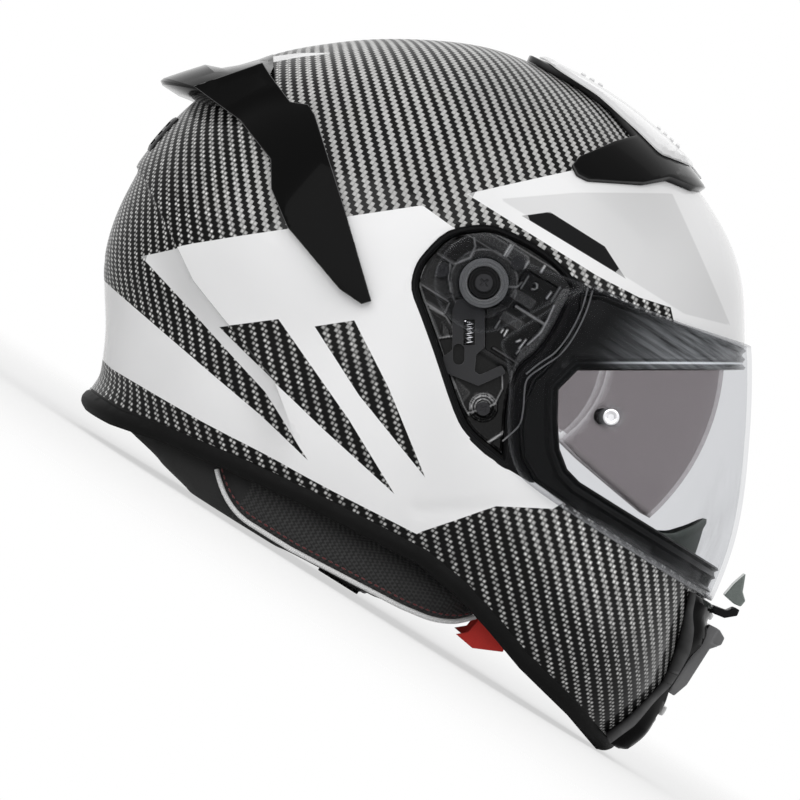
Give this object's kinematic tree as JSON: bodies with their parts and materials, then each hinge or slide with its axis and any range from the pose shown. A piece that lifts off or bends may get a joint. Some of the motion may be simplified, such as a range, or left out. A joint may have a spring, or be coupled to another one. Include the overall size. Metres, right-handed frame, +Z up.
{
  "type": "full face motorcycle helmet",
  "caption": "Full face motorcycle helmet with side visor mechanism, clear visor, drop-down smoked sun visor, vents, rear spoiler, padded liner and strap with paired rings.",
  "frame": {"origin": "centre of the bounding box at its base, where the helmet stands on its neck roll and chin rim", "axes": "+Z up, the face looks along -Y, the wearer's right is -X"},
  "size_m": [0.2596, 0.3648, 0.2674],
  "materials": {
    "lacquered_laminate": "carbon fibre laminate and white pearl under a glossy clear coat",
    "liner_foam": "beaded foam, matt",
    "liner_cloth": "brushed knit",
    "roll_cloth": "suede and spacer mesh",
    "piping_cloth": "woven",
    "rubber": "matt",
    "clear_glass": "clear polycarbonate",
    "smoked_glass": "smoked polycarbonate",
    "bright_steel": "polished",
    "black_plastic": "moulded, satin",
    "dark_steel": "blackened",
    "spring_steel": "drawn wire",
    "gloss_black": "lacquered",
    "white_lacquer": "lacquered",
    "grey_plastic": "satin",
    "guard_plastic": "matt",
    "curtain_cloth": "woven",
    "webbing": "woven strap",
    "red_tape": "woven tape"
  },
  "bodies": {
    "helmet": {"outer_shell": "lacquered_laminate", "eps_liner": "liner_foam", "crown_liner": "liner_cloth", "cheek_pad_right": "liner_cloth", "cheek_pad_left": "liner_cloth", "neck_roll": "roll_cloth", "neck_piping": "piping_cloth", "rim_trim": "rubber", "eyeport_gasket": "rubber", "visor_catch": "black_plastic", "base_plate_right": "black_plastic", "base_plate_left": "black_plastic", "sun_visor_pins": "bright_steel", "pivot_screws": "dark_steel", "plate_screws": "dark_steel", "release_spring_right": "spring_steel", "release_spring_left": "spring_steel", "brow_vent_frame": "gloss_black", "brow_vent_cover": "white_lacquer", "rear_spoiler": "gloss_black", "exhaust_grille": "black_plastic", "chin_vent_frame": "gloss_black", "chin_insert": "grey_plastic", "chin_vent_mesh": "black_plastic", "breath_guard": "guard_plastic", "chin_curtain": "curtain_cloth", "sun_slider_track": "black_plastic", "strap_right": "webbing", "strap_left": "webbing", "strap_anchors": "bright_steel", "pull_tabs": "red_tape"},
    "visor": {"visor_shield": "clear_glass", "visor_tab": "clear_glass", "lens_pins": "bright_steel", "visor_hub_right": "black_plastic", "visor_hub_left": "black_plastic"},
    "sun_visor": {"sun_visor": "smoked_glass"},
    "sun_slider": {"sun_slider": "black_plastic"},
    "lever_right": {"release_lever_right": "black_plastic"},
    "lever_left": {"release_lever_left": "black_plastic"},
    "front_slider": {"front_vent_slider": "white_lacquer"},
    "top_slider": {"top_vent_slider": "white_lacquer"},
    "chin_shutter": {"chin_shutter": "grey_plastic"},
    "d_rings": {"d_rings": "bright_steel"}
  },
  "joints": [
    {"name": "visor_hinge", "type": "hinge", "parent": "helmet", "child": "visor", "pos_m": [0, 0.0025, 0.1563], "axis": [-1, 0, 0], "range_deg": [0, 50]},
    {"name": "sun_visor_hinge", "type": "hinge", "parent": "helmet", "child": "sun_visor", "pos_m": [0, -0.022, 0.135], "axis": [-1, 0, 0], "range_deg": [0, 43]},
    {"name": "sun_slider_slide", "type": "slide", "parent": "helmet", "child": "sun_slider", "axis": [0.1289, 0.9917, 0], "range_m": [0, 0.0242]},
    {"name": "release_right", "type": "slide", "parent": "helmet", "child": "lever_right", "axis": [0, -0.5262, -0.8504], "range_m": [0, 0.004], "stiffness_N_per_m": 300, "springref_m": -0.0005, "deforming": ["release_spring_right"]},
    {"name": "release_left", "type": "slide", "parent": "helmet", "child": "lever_left", "axis": [0, -0.5262, -0.8504], "range_m": [0, 0.004], "stiffness_N_per_m": 300, "springref_m": -0.0005, "deforming": ["release_spring_left"]},
    {"name": "front_vent", "type": "slide", "parent": "helmet", "child": "front_slider", "axis": [0, 0.99, 0.1407], "range_m": [0, 0.006]},
    {"name": "top_vent", "type": "slide", "parent": "helmet", "child": "top_slider", "axis": [0, 1, 0], "range_m": [0, 0.006]},
    {"name": "chin_vent", "type": "slide", "parent": "helmet", "child": "chin_shutter", "axis": [0, 0, -1], "range_m": [0, 0.006]},
    {"name": "d_ring_swing", "type": "hinge", "parent": "helmet", "child": "d_rings", "pos_m": [0.056, -0.014, 0.0064], "axis": [0, 1, 0], "range_deg": [0, 60]}
  ],
  "couplings": [
    {"joint": "sun_slider_slide", "follows": "sun_visor_hinge", "m_per_rad": 0.032}
  ]
}
